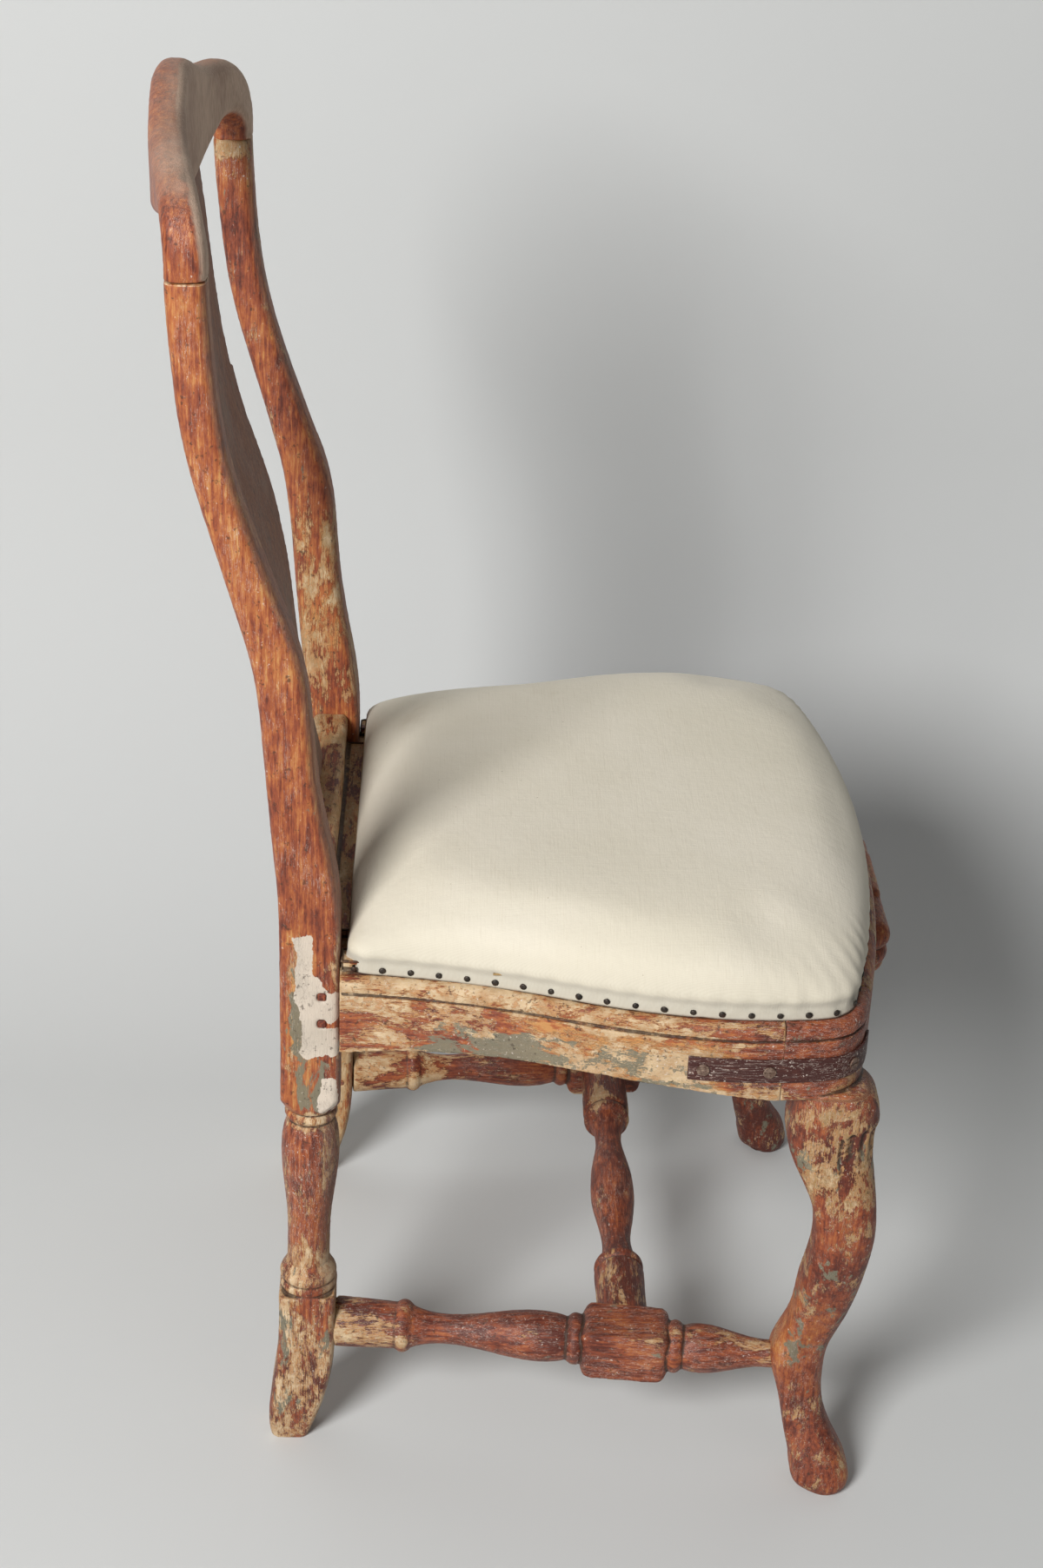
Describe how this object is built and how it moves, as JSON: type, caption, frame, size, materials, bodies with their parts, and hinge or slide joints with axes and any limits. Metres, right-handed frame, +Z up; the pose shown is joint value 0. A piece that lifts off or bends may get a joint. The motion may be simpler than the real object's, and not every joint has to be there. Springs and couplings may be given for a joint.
{
  "type": "side chair",
  "caption": "Upright wooden side chair with a shaped back, bowed tacked seat, cabriole front legs, turned rear legs and an H-shaped turned stretcher.",
  "frame": {"origin": "on the floor under the middle of the chair's bounding box", "axes": "+Z up, the front of the chair faces -Y, +X is to the sitter's left"},
  "size_m": [0.4827, 0.5121, 0.952],
  "materials": {
    "painted_frame": "worn brown-red paint over cream and grey-green layers on wood",
    "peg_wood": "dull",
    "cover_cloth": "plain woven cotton",
    "stuffing": "loose hair and fibre",
    "webbing": "coarse woven jute",
    "hessian": "open woven jute",
    "tack_iron": "dull black iron",
    "strap_iron": "worn dark red paint on iron"
  },
  "bodies": {
    "root": {"right_back_stile": "painted_frame", "left_back_stile": "painted_frame", "crest_rail": "painted_frame", "back_splat": "painted_frame", "splat_shoe": "painted_frame", "rear_seat_rail": "painted_frame", "right_side_rail": "painted_frame", "left_side_rail": "painted_frame", "front_seat_rail": "painted_frame", "apron_shell": "painted_frame", "right_front_leg": "painted_frame", "left_front_leg": "painted_frame", "right_side_stretcher": "painted_frame", "left_side_stretcher": "painted_frame", "cross_stretcher": "painted_frame", "lengthwise_webbing": "webbing", "crosswise_webbing": "webbing", "base_hessian": "hessian", "seat_stuffing": "stuffing", "seat_cover": "cover_cloth", "cover_tacks": "tack_iron", "webbing_tacks": "tack_iron", "rail_pegs": "peg_wood", "leg_pegs": "peg_wood", "stretcher_pegs": "peg_wood", "crest_pegs": "peg_wood", "corner_mending_strap": "strap_iron", "strap_screws": "strap_iron"}
  },
  "joints": []
}
